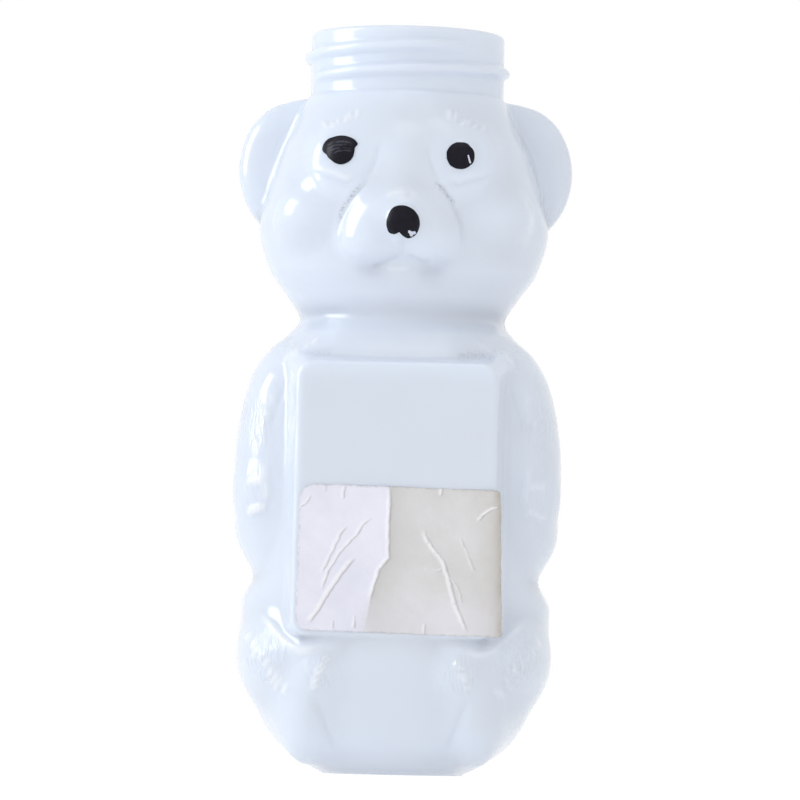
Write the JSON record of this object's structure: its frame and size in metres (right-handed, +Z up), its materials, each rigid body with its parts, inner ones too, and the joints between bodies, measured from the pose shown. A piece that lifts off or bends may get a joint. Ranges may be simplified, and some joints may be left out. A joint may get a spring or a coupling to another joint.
{
  "type": "honey bear bottle",
  "caption": "Bear-shaped squeeze bottle of milky plastic, hollow and open at its screw neck, with inked eyes and nose and a bare paper label on a flat front panel.",
  "frame": {"origin": "on the surface that the bottle stands on, under the neck's axis", "axes": "+Z up along the neck's axis, the bear looks along -Y, +X is the bear's left"},
  "size_m": [0.0606, 0.0557, 0.1343],
  "materials": {
    "natural_plastic": "milky, soft gloss",
    "black_ink": "glossy, brushed on",
    "label_paper": "matte, creased and worn"
  },
  "bodies": {
    "root": {"bottle": "natural_plastic", "left_eye_ink": "black_ink", "right_eye_ink": "black_ink", "nose_ink": "black_ink", "paper_label": "label_paper"}
  },
  "joints": []
}
